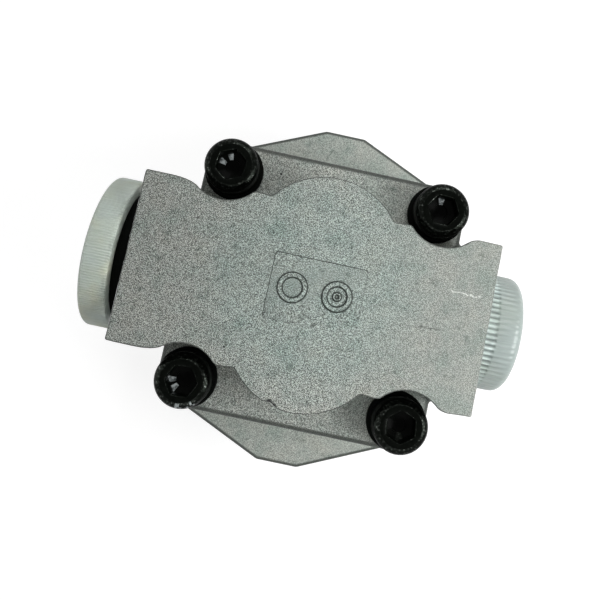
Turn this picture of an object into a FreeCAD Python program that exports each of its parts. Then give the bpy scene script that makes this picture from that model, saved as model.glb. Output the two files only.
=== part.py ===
import FreeCAD, Part
import math
import os

from FreeCAD import Rotation, Vector

# External gear pump, in millimetres. The origin is the centre of the four through screws on the
# mounting face, +Z points to the blind rear end, the ports lie along X and the two gears along Y.

# Case, cover and the four through screws
screw_spacing_x = 64.0
screw_spacing_y = 64.0
cover_thickness = 14.0
cover_half_length = 58.5
cover_end_half_width = 7.0
cover_slope_deg = 24.0
cover_corner_radius = 3.0
cover_edge_radius = 1.5
case_rear_wall = 5.7
foot_height = 30.0
foot_margin = 9.3
foot_edge_radius = 2.0
inlet_wing_length = 54.2
outlet_wing_length = 49.6
wing_half_width = 24.5
inlet_bend_radius = 14.0
outlet_bend_radius = 6.0
inner_bend_radius = 3.0
wing_corner_radius = 0.6
wing_foot_cove = 1.2
scallop_radius = 12.2
bulge_wall = 8.6
bulge_corner_radius = 1.5

screw_radius = 5.0
screw_hole_gap = 0.5
screw_shank_radius = 4.5
screw_thread_runout = 0.3
screw_length = 65.0
screw_head_radius = 8.0
screw_head_height = 10.0
screw_head_chamfer = 0.8
screw_socket_flats = 8.0
screw_socket_depth = 5.0
screw_socket_entry = 0.6
screw_tip_chamfer = 1.2
washer_radius = 9.0
washer_bore_gap = 0.25
washer_thickness = 2.0

# Gears, shafts and their bearings
gear_module = 2.25
gear_teeth = 10
gear_pressure_deg = 28.0
gear_backlash = 0.12
gear_width = 16.0
gear_tip_gap = 0.1
gear_side_gap = 0.05
root_depth_factor = 1.25
journal_radius = 8.0
journal_gap = 0.03
journal_end_gap = 0.5
journal_chamfer = 0.6
bush_wall = 1.5
bush_chamfer = 0.4
front_block_length = 16.0
rear_block_length = 10.0
block_side_gap = 0.05
block_end_gap = 0.1
relief_slot_width = 4.0
relief_slot_length = 6.0
relief_slot_depth = 1.0
relief_land = 1.8
spline_teeth = 11
spline_radius = 7.3
spline_depth = 1.3
spline_length = 8.5
shaft_reach = 16.0

# Mounting spigot and shaft seal
pilot_radius = 25.0
pilot_length = 7.0
pilot_chamfer = 1.0
seal_radius = 14.0
seal_width = 7.0
seal_wall = 1.6
seal_lip_gap = 0.03
seal_lip_width = 1.2
seal_bore_depth = 9.0
spring_wire_radius = 0.7
spring_wire_sides = 8
circlip_width = 1.2
circlip_bite = 0.6
circlip_ring = 2.2
circlip_mouth = 9.0
circlip_ear_radius = 1.9
circlip_eye_radius = 0.9
shaft_hole_gap = 0.6

# Seals between the case, the cover and the bearing blocks
case_seal_width = 2.4
case_seal_depth = 2.0
case_seal_land = 2.2
block_seal_width = 2.0
block_seal_height = 1.6
block_seal_land = 0.7
block_seal_mouth = 6.0
backup_thickness = 0.8

# Dowels and the small screws that hold the cover on before the pump is mounted
dowel_radius = 3.0
dowel_length = 12.0
dowel_offset = 29.0
dowel_chamfer = 0.5
cover_screw_x = 19.0
cover_screw_y = 36.5
cover_screw_radius = 2.5
cover_screw_length = 20.0
cover_screw_head_radius = 4.25
cover_screw_head_height = 5.0
cover_screw_head_gap = 0.5
cover_screw_sink = 0.5
cover_screw_socket_flats = 4.0
cover_screw_socket_depth = 2.5
cover_screw_tap_spare = 2.5

# Ports and their screwed plastic plugs: the inlet has a G1 thread and the outlet a G3/4 thread
inlet_thread_radius = 15.15
outlet_thread_radius = 12.05
port_thread_depth = 18.0
port_mouth_chamfer = 1.2
inlet_passage_radius = 7.5
outlet_passage_radius = 6.0
drill_point_deg = 118.0
plug_thread_gap = 0.1
plug_neck_length = 14.0
plug_neck_wall = 2.6
plug_neck_chamfer = 1.0
plug_roof = 3.0
plug_inner_rim = 0.6
plug_rounding_steps = 4
plug_dish_margin = 5.0
plug_dish_depth = 1.2
plug_dish_slant = 1.0
plug_gate_radius = 1.6
plug_gate_height = 0.5
inlet_head_radius = 23.4
inlet_head_thickness = 9.2
inlet_rim_radius = 2.0
inlet_ribs = 180
inlet_rib_depth = 0.35
inlet_seal_thickness = 4.0
inlet_seal_radius = 20.5
outlet_head_radius = 17.9
outlet_head_thickness = 10.1
outlet_rim_radius = 3.0
outlet_ribs = 66
outlet_rib_depth = 0.45
outlet_seal_thickness = 1.2
outlet_seal_radius = 16.4
plug_seal_bore_gap = 0.2

# Places that follow from the sizes above
screw_x = screw_spacing_x / 2
screw_y = screw_spacing_y / 2
screw_places = [(sx * screw_x, sy * screw_y) for sx in (-1, 1) for sy in (-1, 1)]
foot_half_x = screw_x + foot_margin
foot_half_y = screw_y + foot_margin
foot_top = cover_thickness + foot_height
head_seat = foot_top + washer_thickness

pitch_radius = gear_module * gear_teeth / 2
tip_radius = pitch_radius + gear_module
root_radius = pitch_radius - root_depth_factor * gear_module
chamber_radius = tip_radius + gear_tip_gap
bulge_radius = chamber_radius + bulge_wall
drive_y = pitch_radius
driven_y = -pitch_radius
bush_bore_radius = journal_radius + journal_gap
bush_radius = bush_bore_radius + bush_wall
block_radius = chamber_radius - block_side_gap

front_block_low = cover_thickness + block_end_gap
front_block_top = front_block_low + front_block_length
gear_low = front_block_top + gear_side_gap
gear_top = gear_low + gear_width
rear_block_low = gear_top + gear_side_gap
rear_block_top = rear_block_low + rear_block_length
chamber_top = rear_block_top + block_end_gap
case_top = chamber_top + case_rear_wall
port_z = (gear_low + gear_top) / 2
block_groove_depth = block_seal_height + backup_thickness - block_end_gap
seal_bore_top = seal_bore_depth - pilot_length
seal_low = seal_bore_top - seal_width
dowel_low = cover_thickness - dowel_length / 2
cover_screw_seat = cover_screw_sink + cover_screw_head_height
cover_screw_places = [(sx * cover_screw_x, sy * cover_screw_y) for sx in (-1, 1) for sy in (-1, 1)]


def disc(radius, x, y, low, top):
    """A round bar along Z between two heights."""
    return Part.makeCylinder(radius, top - low, Vector(x, y, low))


def fuse(shapes):
    """One solid from several that touch or overlap."""
    return shapes[0].multiFuse(shapes[1:]).removeSplitter()


def turned(points, x, y):
    """A ring or disc turned about a vertical axis from its section: pairs of radius and height."""
    corners = [Vector(r, 0, z) for r, z in points]
    section = Part.Face(Part.makePolygon(corners + corners[:1]))
    body = section.revolve(Vector(0, 0, 0), Vector(0, 0, 1), 360)
    body.translate(Vector(x, y, 0))
    return body


def prism(points, low, top):
    """A straight-sided block from a closed outline of corner points."""
    corners = [Vector(x, y, low) for x, y in points]
    return Part.Face(Part.makePolygon(corners + corners[:1])).extrude(Vector(0, 0, top - low))


def hexagon(flats, x, y, low, top):
    """A hexagonal bar of the given width across flats."""
    corner = flats / math.sqrt(3)
    turns = [math.radians(60 * i) for i in range(6)]
    return prism([(x + corner * math.cos(a), y + corner * math.sin(a)) for a in turns], low, top)


def round_uprights(body, radius, chosen):
    """Rounds the vertical edges whose middle passes the test."""
    edges = []
    for edge in body.Edges:
        start, end = edge.Vertexes[0].Point, edge.Vertexes[-1].Point
        upright = math.hypot(start.x - end.x, start.y - end.y) < 1e-6 and abs(start.z - end.z) > 1e-6
        if upright and chosen(start):
            edges.append(edge)
    return body.makeFillet(radius, edges)


def figure_eight(radius, low, top):
    """Two joined round bars on the gears' centres, the form of the gear chamber."""
    return fuse([disc(radius, 0, y, low, top) for y in (drive_y, driven_y)])


def long_round(radius, low, top):
    """A bar with straight sides and round ends about both gear centres."""
    ends = [disc(radius, 0, y, low, top) for y in (drive_y, driven_y)]
    waist = Part.makeBox(2 * radius, drive_y - driven_y, top - low, Vector(-radius, driven_y, low))
    return fuse(ends + [waist])


def foot_block():
    """The rounded-square lower part of the case that the through screws clamp."""
    block = Part.makeBox(2 * foot_half_x, 2 * foot_half_y, foot_height,
                         Vector(-foot_half_x, -foot_half_y, cover_thickness))
    block = round_uprights(block, foot_margin, lambda p: True)
    rim = [e for e in block.Edges if all(abs(v.Z - foot_top) < 1e-6 for v in e.Vertexes)]
    return block.makeFillet(foot_edge_radius, rim)


def wing_block():
    """The tall part: two port wings and two bulges round the gears, scalloped for the screws."""
    height = case_top - cover_thickness
    wings = Part.makeBox(inlet_wing_length + outlet_wing_length, 2 * wing_half_width, height,
                         Vector(-inlet_wing_length, -wing_half_width, cover_thickness))
    bulges = [disc(bulge_radius, 0, y, cover_thickness, case_top) for y in (drive_y, driven_y)]
    block = fuse([wings] + bulges)
    for x, y in screw_places:
        block = block.cut(disc(scallop_radius, x, y, cover_thickness, case_top))

    def beside_scallop(point):
        off_x, off_y = abs(point.x) - screw_x, abs(point.y) - screw_y
        return abs(math.hypot(off_x, off_y) - scallop_radius) < 1e-4

    def beside_bulge(point):
        on_bulge = abs(math.hypot(point.x, abs(point.y) - drive_y) - bulge_radius) < 1e-4
        return on_bulge and not beside_scallop(point)

    block = round_uprights(block, inlet_bend_radius, lambda p: beside_scallop(p) and p.x < -screw_x)
    block = round_uprights(block, outlet_bend_radius, lambda p: beside_scallop(p) and p.x > screw_x)
    block = round_uprights(block, inner_bend_radius, lambda p: beside_scallop(p) and abs(p.x) < screw_x)
    block = round_uprights(block, bulge_corner_radius, beside_bulge)
    ends = (-inlet_wing_length, outlet_wing_length)
    return round_uprights(block, wing_corner_radius, lambda p: min(abs(p.x - x) for x in ends) < 1e-6)


def port_cutter(thread_radius, passage_radius, wing_length):
    """The material taken out of a port wing, along +X from the chamber to the port face."""
    point_length = (thread_radius - passage_radius) / math.tan(math.radians(drill_point_deg / 2))
    thread_end = wing_length - port_thread_depth
    mouth = thread_radius + port_mouth_chamfer
    section = [(0, 0), (passage_radius, 0), (passage_radius, thread_end - point_length),
               (thread_radius, thread_end), (thread_radius, wing_length - port_mouth_chamfer),
               (mouth, wing_length), (0, wing_length)]
    cutter = turned(section, 0, 0)
    cutter.rotate(Vector(0, 0, 0), Vector(0, 1, 0), 90)
    cutter.translate(Vector(0, 0, port_z))
    return cutter


def gear_case():
    """The cast body: foot, wings, blind gear chamber, ports and the holes from its joint face."""
    body = foot_block().fuse(wing_block()).removeSplitter()

    def in_cove(edge):
        level = all(abs(v.Z - foot_top) < 1e-6 for v in edge.Vertexes)
        middle = edge.valueAt((edge.FirstParameter + edge.LastParameter) / 2)
        inside = abs(middle.x) < foot_half_x - foot_edge_radius - 1e-3
        return level and inside and abs(middle.y) < foot_half_y - foot_edge_radius - 1e-3

    body = body.makeFillet(wing_foot_cove, [e for e in body.Edges if in_cove(e)])
    body = body.cut(figure_eight(chamber_radius, cover_thickness, chamber_top))
    outlet = port_cutter(outlet_thread_radius, outlet_passage_radius, outlet_wing_length)
    inlet = port_cutter(inlet_thread_radius, inlet_passage_radius, inlet_wing_length)
    inlet.rotate(Vector(0, 0, port_z), Vector(0, 0, 1), 180)
    holes = [outlet, inlet]
    for x, y in screw_places:
        holes.append(disc(screw_radius + screw_hole_gap, x, y, cover_thickness, case_top))
    for x, y in cover_screw_places:
        tap_top = cover_screw_seat + cover_screw_length + cover_screw_tap_spare
        holes.append(disc(cover_screw_radius, x, y, cover_thickness, tap_top))
    for x in (-dowel_offset, dowel_offset):
        holes.append(disc(dowel_radius, x, 0, cover_thickness, cover_thickness + dowel_length / 2))
    holes.append(case_seal_ring())
    return body.cut(holes)


def case_seal_ring():
    """The square-section ring that seals the case to the cover, in a groove of the case."""
    inner = chamber_radius + case_seal_land
    top = cover_thickness + case_seal_depth
    outside = long_round(inner + case_seal_width, cover_thickness, top)
    return outside.cut(long_round(inner, cover_thickness, top))


def cover_outline():
    """Corner points of the cover: straight sides beside the foot and two pointed ends."""
    drop = (foot_half_x - cover_end_half_width) * math.tan(math.radians(cover_slope_deg))
    shoulder = cover_half_length - drop
    quarter = [(foot_half_x, shoulder), (cover_end_half_width, cover_half_length)]
    upper = quarter + [(-x, y) for x, y in reversed(quarter)]
    return upper + [(-x, -y) for x, y in upper]


def front_cover():
    """The cast mounting cover with its spigot, shaft seal bore and screw holes."""
    plate = prism(cover_outline(), 0, cover_thickness)
    plate = round_uprights(plate, cover_corner_radius, lambda p: True)
    rim = [e for e in plate.Edges if all(abs(v.Z - cover_thickness) < 1e-6 for v in e.Vertexes)]
    plate = plate.makeFillet(cover_edge_radius, rim)
    spigot = turned([(0, 0), (pilot_radius, 0), (pilot_radius, pilot_chamfer - pilot_length),
                     (pilot_radius - pilot_chamfer, -pilot_length), (0, -pilot_length)], 0, drive_y)
    body = plate.fuse(spigot).removeSplitter()
    shaft_hole = journal_radius + shaft_hole_gap
    clip_radius = seal_radius + circlip_bite
    holes = [disc(shaft_hole, 0, drive_y, seal_bore_top, cover_thickness),
             disc(seal_radius, 0, drive_y, -pilot_length, seal_bore_top),
             disc(clip_radius, 0, drive_y, seal_low - circlip_width, seal_low)]
    for x, y in screw_places:
        holes.append(disc(screw_radius + screw_hole_gap, x, y, 0, cover_thickness))
    for x, y in cover_screw_places:
        holes.append(disc(cover_screw_radius + cover_screw_head_gap, x, y, 0, cover_thickness))
        holes.append(disc(cover_screw_head_radius + cover_screw_head_gap, x, y, 0, cover_screw_seat))
    for x in (-dowel_offset, dowel_offset):
        holes.append(disc(dowel_radius, x, 0, dowel_low, cover_thickness))
    return body.cut(holes)


def pressure_seal_plan(low, top):
    """The 3-shaped area on a bearing block that works against outlet pressure."""
    outer = block_radius - block_seal_land
    band = figure_eight(outer, low, top)
    for y in (drive_y, driven_y):
        band = band.cut(disc(outer - block_seal_width, 0, y, low, top))
    mouth = Part.makeBox(outer, 4 * outer, top - low, Vector(-outer - block_seal_mouth, -2 * outer, low))
    return band.cut(mouth)


def bearing_block(low, top, gear_face, seal_face):
    """A pressure-loaded bearing block with bush bores, relief slots and a seal groove."""
    body = figure_eight(block_radius, low, top)
    into_block = 1 if seal_face == low else -1
    groove = sorted([seal_face, seal_face + into_block * block_groove_depth])
    cuts = [disc(bush_radius, 0, y, low, top) for y in (drive_y, driven_y)]
    cuts.append(pressure_seal_plan(*groove))
    slot = sorted([gear_face, gear_face - into_block * relief_slot_depth])
    for side in (-1, 1):
        start = relief_land if side > 0 else -relief_land - relief_slot_length
        cuts.append(Part.makeBox(relief_slot_length, relief_slot_width, slot[1] - slot[0],
                                 Vector(start, -relief_slot_width / 2, slot[0])))
    return body.cut(cuts)


def bush(y, low, top):
    """A plain sleeve bearing pressed in a block, chamfered at both ends of its bore."""
    wide = bush_bore_radius + bush_chamfer
    return turned([(wide, low), (bush_radius, low), (bush_radius, top), (wide, top),
                   (bush_bore_radius, top - bush_chamfer), (bush_bore_radius, low + bush_chamfer)], 0, y)


def involute_point(base_radius, radius, turn, side):
    """A point of an involute flank at a radius, mirrored by side and turned about the centre."""
    spread = math.acos(base_radius / radius)
    angle = turn + side * (math.tan(spread) - spread)
    return Vector(radius * math.cos(angle), radius * math.sin(angle), 0)


def gear_face(first_tooth_deg):
    """The flat outline of a gear with involute teeth, one of them at the given angle."""
    pressure = math.radians(gear_pressure_deg)
    base_radius = pitch_radius * math.cos(pressure)
    tooth_half = (math.pi * gear_module / 2 - gear_backlash) / (2 * pitch_radius)
    foot_half = tooth_half + math.tan(pressure) - pressure
    step = 2 * math.pi / gear_teeth
    radii = [base_radius, (base_radius + tip_radius) / 2, tip_radius]
    edges = []
    for tooth in range(gear_teeth):
        middle = math.radians(first_tooth_deg) + tooth * step
        rising = [involute_point(base_radius, r, middle - foot_half, 1) for r in radii]
        falling = [involute_point(base_radius, r, middle + foot_half, -1) for r in reversed(radii)]
        tip = Vector(tip_radius * math.cos(middle), tip_radius * math.sin(middle), 0)
        root_start = rising[0] * (root_radius / base_radius)
        root_end = falling[-1] * (root_radius / base_radius)
        gap = middle + step / 2
        root_middle = Vector(root_radius * math.cos(gap), root_radius * math.sin(gap), 0)
        next_root = Rotation(Vector(0, 0, 1), math.degrees(step)).multVec(root_start)
        edges.append(Part.makeLine(root_start, rising[0]))
        edges.append(Part.Arc(*rising).toShape())
        edges.append(Part.Arc(rising[-1], tip, falling[0]).toShape())
        edges.append(Part.Arc(*falling).toShape())
        edges.append(Part.makeLine(falling[-1], root_end))
        edges.append(Part.Arc(root_end, root_middle, next_root).toShape())
    return Part.Face(Part.Wire(edges))


def spur_gear(y, first_tooth_deg):
    """The toothed part of a shaft."""
    gear = gear_face(first_tooth_deg).extrude(Vector(0, 0, gear_width))
    gear.translate(Vector(0, y, gear_low))
    return gear


def journal(y, low, top, low_chamfer, top_chamfer):
    """A round length of shaft with chamfered ends."""
    return turned([(0, low), (journal_radius - low_chamfer, low), (journal_radius, low + low_chamfer),
                   (journal_radius, top - top_chamfer), (journal_radius - top_chamfer, top), (0, top)], 0, y)


def spline_end():
    """The toothed drive end of the shaft, chamfered at its tip."""
    tooth = 2 * math.pi / spline_teeth
    corners = []
    for i in range(spline_teeth):
        for radius, share in ((spline_radius - spline_depth, -0.32), (spline_radius, -0.18),
                              (spline_radius, 0.18), (spline_radius - spline_depth, 0.32)):
            angle = (i + share) * tooth
            corners.append((radius * math.cos(angle), radius * math.sin(angle) + drive_y))
    bar = prism(corners, -shaft_reach, spline_length - shaft_reach)
    envelope = turned([(0, -shaft_reach), (spline_radius - spline_depth, -shaft_reach),
                       (spline_radius, spline_depth - shaft_reach),
                       (spline_radius, spline_length - shaft_reach),
                       (0, spline_length - shaft_reach)], 0, drive_y)
    return bar.common(envelope)


def drive_shaft():
    """The drive gear, forged in one with its shaft, which ends in a spline."""
    rear_end = rear_block_top - journal_end_gap
    front = journal(drive_y, spline_length - shaft_reach, gear_low, journal_chamfer, 0)
    rear = journal(drive_y, gear_top, rear_end, 0, journal_chamfer)
    return fuse([spur_gear(drive_y, -90), front, rear, spline_end()])


def driven_shaft():
    """The driven gear with its two journals, which both end inside the bearing blocks."""
    front_end = front_block_low + journal_end_gap
    rear_end = rear_block_top - journal_end_gap
    front = journal(driven_y, front_end, gear_low, journal_chamfer, 0)
    rear = journal(driven_y, gear_top, rear_end, 0, journal_chamfer)
    return fuse([spur_gear(driven_y, 90 + 180 / gear_teeth), front, rear])


def shaft_seal():
    """The rubber lip seal in the cover, open towards the pump for its spring."""
    lip = journal_radius + seal_lip_gap
    web = seal_low + seal_wall
    lip_outside = lip + seal_lip_width
    shell_inside = seal_radius - seal_wall
    mouth = seal_bore_top - seal_wall
    return turned([(lip + seal_lip_width, seal_low), (seal_radius, seal_low), (seal_radius, seal_bore_top),
                   (shell_inside, seal_bore_top), (shell_inside, web), (lip_outside + seal_wall, web),
                   (lip_outside, web + seal_wall), (lip_outside, mouth), (lip, mouth),
                   (lip, web), (lip + seal_lip_width / 2, seal_low)], 0, drive_y)


def seal_spring():
    """The garter spring round the lip of the shaft seal."""
    around = journal_radius + seal_lip_gap + seal_lip_width + spring_wire_radius
    height = seal_bore_top - seal_wall - 2 * spring_wire_radius
    turns = [2 * math.pi * i / spring_wire_sides for i in range(spring_wire_sides)]
    return turned([(around + spring_wire_radius * math.cos(a), height + spring_wire_radius * math.sin(a))
                   for a in turns], 0, drive_y)


def seal_circlip():
    """The spring steel ring in the cover's groove that holds the shaft seal in."""
    low, top = seal_low - circlip_width, seal_low
    outer = seal_radius + circlip_bite
    ring = disc(outer, 0, drive_y, low, top).cut(disc(outer - circlip_ring, 0, drive_y, low, top))
    mouth = Part.makeBox(circlip_mouth, outer, top - low, Vector(-circlip_mouth / 2, drive_y - outer, low))
    ring = ring.cut(mouth)
    reach = seal_radius - circlip_ear_radius - circlip_bite
    ear_turn = math.asin((circlip_mouth / 2 + circlip_ear_radius) / reach)
    for side in (-1, 1):
        x, y = side * reach * math.sin(ear_turn), drive_y - reach * math.cos(ear_turn)
        ring = ring.fuse(disc(circlip_ear_radius, x, y, low, top))
        ring = ring.cut(disc(circlip_eye_radius, x, y, low, top))
    return ring.removeSplitter()


def dowel_pins():
    """Two chamfered pins that line the cover up with the case."""
    top = dowel_low + dowel_length
    slim = dowel_radius - dowel_chamfer
    section = [(0, dowel_low), (slim, dowel_low), (dowel_radius, dowel_low + dowel_chamfer),
               (dowel_radius, top - dowel_chamfer), (slim, top), (0, top)]
    return Part.makeCompound([turned(section, x, 0) for x in (-dowel_offset, dowel_offset)])


def cap_screw(x, y):
    """A through screw: chamfered socket head, slim shank and a full-size thread below the cover."""
    top = head_seat + screw_head_height
    tip = head_seat - screw_length
    body = turned([(0, tip), (screw_radius - screw_tip_chamfer, tip), (screw_radius, tip + screw_tip_chamfer),
                   (screw_radius, -screw_thread_runout), (screw_shank_radius, 0),
                   (screw_shank_radius, head_seat), (screw_head_radius, head_seat),
                   (screw_head_radius, top - screw_head_chamfer),
                   (screw_head_radius - screw_head_chamfer, top), (0, top)], x, y)
    corner = screw_socket_flats / math.sqrt(3)
    socket_floor = top - screw_socket_depth
    entry = corner + screw_socket_entry
    countersink = turned([(0, top), (entry, top), (0, top - entry)], x, y)
    drill = screw_socket_flats / 2
    cone = turned([(0, socket_floor), (drill, socket_floor), (0, socket_floor - drill / 2)], x, y)
    return body.cut([hexagon(screw_socket_flats, x, y, socket_floor, top), countersink, cone])


def cover_screw(x, y):
    """A small cap screw sunk in the mounting face, its head downwards."""
    top = cover_screw_seat + cover_screw_length
    body = fuse([disc(cover_screw_head_radius, x, y, cover_screw_sink, cover_screw_seat),
                 disc(cover_screw_radius, x, y, cover_screw_seat, top)])
    socket_top = cover_screw_sink + cover_screw_socket_depth
    return body.cut(hexagon(cover_screw_socket_flats, x, y, cover_screw_sink, socket_top))


def washer(x, y):
    """A plain washer between the foot and a screw head."""
    ring = disc(washer_radius, x, y, foot_top, head_seat)
    return ring.cut(disc(screw_radius + washer_bore_gap, x, y, foot_top, head_seat))


def ribbed_bar(radius, ribs, depth, low, top):
    """A bar whose side carries fine V-shaped ribs."""
    turns = [math.pi * i / ribs for i in range(2 * ribs)]
    radii = [radius - depth * (i % 2) for i in range(2 * ribs)]
    return prism([(r * math.cos(a), r * math.sin(a)) for r, a in zip(radii, turns)], low, top)


def port_plug(thread_radius, seal, head_radius, head, rim, ribs, rib_depth):
    """A screwed plastic plug along +Z from the port face at height 0, hollow from the port side."""
    neck_radius = thread_radius - plug_thread_gap
    outside = seal + head
    tip = neck_radius - plug_neck_chamfer
    rim_low = seal + plug_inner_rim
    neck = turned([(0, -plug_neck_length), (tip, -plug_neck_length),
                   (neck_radius, plug_neck_chamfer - plug_neck_length), (neck_radius, seal), (0, seal)], 0, 0)
    inner_rim = turned([(0, seal), (head_radius - plug_inner_rim, seal), (head_radius, rim_low), (0, rim_low)],
                       0, 0)
    grip = ribbed_bar(head_radius, ribs, rib_depth, rim_low, outside - rim)
    steps = [math.radians(90 * i / plug_rounding_steps) for i in range(plug_rounding_steps + 1)]
    cap = turned([(0, outside - rim)]
                 + [(head_radius - rim + rim * math.cos(a), outside - rim + rim * math.sin(a)) for a in steps]
                 + [(0, outside)], 0, 0)
    dish = head_radius - plug_dish_margin
    dish_floor = outside - plug_dish_depth
    gate_top = dish_floor + plug_gate_height
    hollow = turned([(0, gate_top), (plug_gate_radius, gate_top), (plug_gate_radius, dish_floor),
                     (dish - plug_dish_slant, dish_floor), (dish, outside), (0, outside)], 0, 0)
    core = disc(neck_radius - plug_neck_wall, 0, 0, -plug_neck_length, dish_floor - plug_roof)
    return fuse([neck, inner_rim, grip, cap]).cut([hollow, core])


def plug_seal(thread_radius, radius, thickness):
    """The black rubber ring between a port face and its plug, along +Z from height 0."""
    inner = thread_radius - plug_thread_gap + plug_seal_bore_gap
    return disc(radius, 0, 0, 0, thickness).cut(disc(inner, 0, 0, 0, thickness))


def at_port(body, side):
    """Turns a piece modelled along +Z onto the inlet (side -1) or outlet (side 1) port."""
    port_x = outlet_wing_length if side > 0 else -inlet_wing_length
    body.rotate(Vector(0, 0, 0), Vector(0, 1, 0), 90 * side)
    body.translate(Vector(port_x, 0, port_z))
    return body


def save(name, shape):
    """Writes one sub-part and prints its size."""
    box = shape.BoundBox
    solids = [s for s in shape.Solids if s.isValid()]
    print(f"{name:22s} solids {len(solids)}/{len(shape.Solids)}  volume {shape.Volume:10.1f}"
          f"  z {box.ZMin:6.1f} to {box.ZMax:5.1f}")
    shape.exportStep(f"parts/{name}.step")


def main():
    os.makedirs("parts", exist_ok=True)
    save("gear_case", gear_case())
    save("front_cover", front_cover())
    save("case_seal_ring", case_seal_ring())
    save("front_bearing_block", bearing_block(front_block_low, front_block_top, front_block_top, front_block_low))
    save("rear_bearing_block", bearing_block(rear_block_low, rear_block_top, rear_block_low, rear_block_top))
    for shaft, y in (("drive", drive_y), ("driven", driven_y)):
        save(f"{shaft}_front_bush", bush(y, front_block_low, front_block_top))
        save(f"{shaft}_rear_bush", bush(y, rear_block_low, rear_block_top))
    front_groove = front_block_low + block_groove_depth
    rear_groove = rear_block_top - block_groove_depth
    save("front_pressure_seal", pressure_seal_plan(cover_thickness, cover_thickness + block_seal_height))
    save("front_backup_ring", pressure_seal_plan(front_groove - backup_thickness, front_groove))
    save("rear_pressure_seal", pressure_seal_plan(chamber_top - block_seal_height, chamber_top))
    save("rear_backup_ring", pressure_seal_plan(rear_groove, rear_groove + backup_thickness))
    save("drive_gear_shaft", drive_shaft())
    save("driven_gear_shaft", driven_shaft())
    save("shaft_seal", shaft_seal())
    save("seal_spring", seal_spring())
    save("seal_circlip", seal_circlip())
    save("dowel_pins", dowel_pins())
    save("mounting_screws", Part.makeCompound([cap_screw(x, y) for x, y in screw_places]))
    save("screw_washers", Part.makeCompound([washer(x, y) for x, y in screw_places]))
    save("cover_screws", Part.makeCompound([cover_screw(x, y) for x, y in cover_screw_places]))
    save("inlet_plug", at_port(port_plug(inlet_thread_radius, inlet_seal_thickness, inlet_head_radius,
                                         inlet_head_thickness, inlet_rim_radius, inlet_ribs,
                                         inlet_rib_depth), -1))
    save("inlet_plug_seal", at_port(plug_seal(inlet_thread_radius, inlet_seal_radius,
                                              inlet_seal_thickness), -1))
    save("outlet_plug", at_port(port_plug(outlet_thread_radius, outlet_seal_thickness, outlet_head_radius,
                                          outlet_head_thickness, outlet_rim_radius, outlet_ribs,
                                          outlet_rib_depth), 1))
    save("outlet_plug_seal", at_port(plug_seal(outlet_thread_radius, outlet_seal_radius,
                                               outlet_seal_thickness), 1))


main()
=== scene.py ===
import bmesh
import bpy
import math
import random

from mathutils import Matrix, Vector, noise


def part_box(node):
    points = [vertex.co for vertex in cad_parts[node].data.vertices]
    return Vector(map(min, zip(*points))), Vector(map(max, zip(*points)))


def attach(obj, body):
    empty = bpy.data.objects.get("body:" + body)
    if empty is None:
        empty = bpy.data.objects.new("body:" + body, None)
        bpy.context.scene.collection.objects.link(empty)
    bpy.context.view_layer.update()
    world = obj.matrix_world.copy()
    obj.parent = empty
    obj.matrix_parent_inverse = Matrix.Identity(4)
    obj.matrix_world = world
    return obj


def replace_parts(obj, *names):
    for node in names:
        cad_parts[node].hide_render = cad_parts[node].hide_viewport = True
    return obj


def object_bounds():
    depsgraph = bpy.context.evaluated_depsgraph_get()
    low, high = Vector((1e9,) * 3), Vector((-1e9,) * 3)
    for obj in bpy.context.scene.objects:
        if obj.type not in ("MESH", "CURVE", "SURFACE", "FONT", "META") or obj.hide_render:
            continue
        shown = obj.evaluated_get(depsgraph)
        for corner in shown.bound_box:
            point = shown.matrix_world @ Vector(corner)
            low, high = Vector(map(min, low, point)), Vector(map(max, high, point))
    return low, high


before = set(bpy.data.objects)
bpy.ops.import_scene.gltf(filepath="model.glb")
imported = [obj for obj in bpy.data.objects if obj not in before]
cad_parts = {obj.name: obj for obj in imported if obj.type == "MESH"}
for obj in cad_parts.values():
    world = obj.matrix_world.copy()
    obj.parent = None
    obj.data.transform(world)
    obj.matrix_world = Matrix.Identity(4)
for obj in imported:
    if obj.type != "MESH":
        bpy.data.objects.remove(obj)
cad_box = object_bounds()
mm = 0.001

# View: a phone held some 200 mm above the screw heads, almost straight down on the blind end.
# The picture is cut from a larger one, so the middle of the lens lies above and right of its middle.
photo_width = 600
focal_pixels = 690
camera_place = Vector((-4.4, -3.0, 256.2)) * mm
turned_clockwise = math.radians(12.1)
plumb_pixel = Vector((297.8, 300.9))
lens_pixel = Vector((324.5, 231.4))
camera_data = bpy.data.cameras.new("camera")
camera_data.sensor_width = 36
camera_data.lens = focal_pixels / photo_width * camera_data.sensor_width
camera_data.shift_x = 0.5 - lens_pixel.x / photo_width
camera_data.shift_y = lens_pixel.y / photo_width - 0.5
camera_data.clip_start = 0.01
camera = bpy.data.objects.new("camera", camera_data)
bpy.context.scene.collection.objects.link(camera)
down = Vector((plumb_pixel.x - lens_pixel.x, lens_pixel.y - plumb_pixel.y, -focal_pixels)).normalized()
lean = down.rotation_difference(Vector((0, 0, -1))).to_matrix()
camera.matrix_world = Matrix.Translation(camera_place) @ (
    Matrix.Rotation(turned_clockwise, 3, "Z") @ lean).to_4x4()
bpy.context.scene.camera = camera

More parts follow.
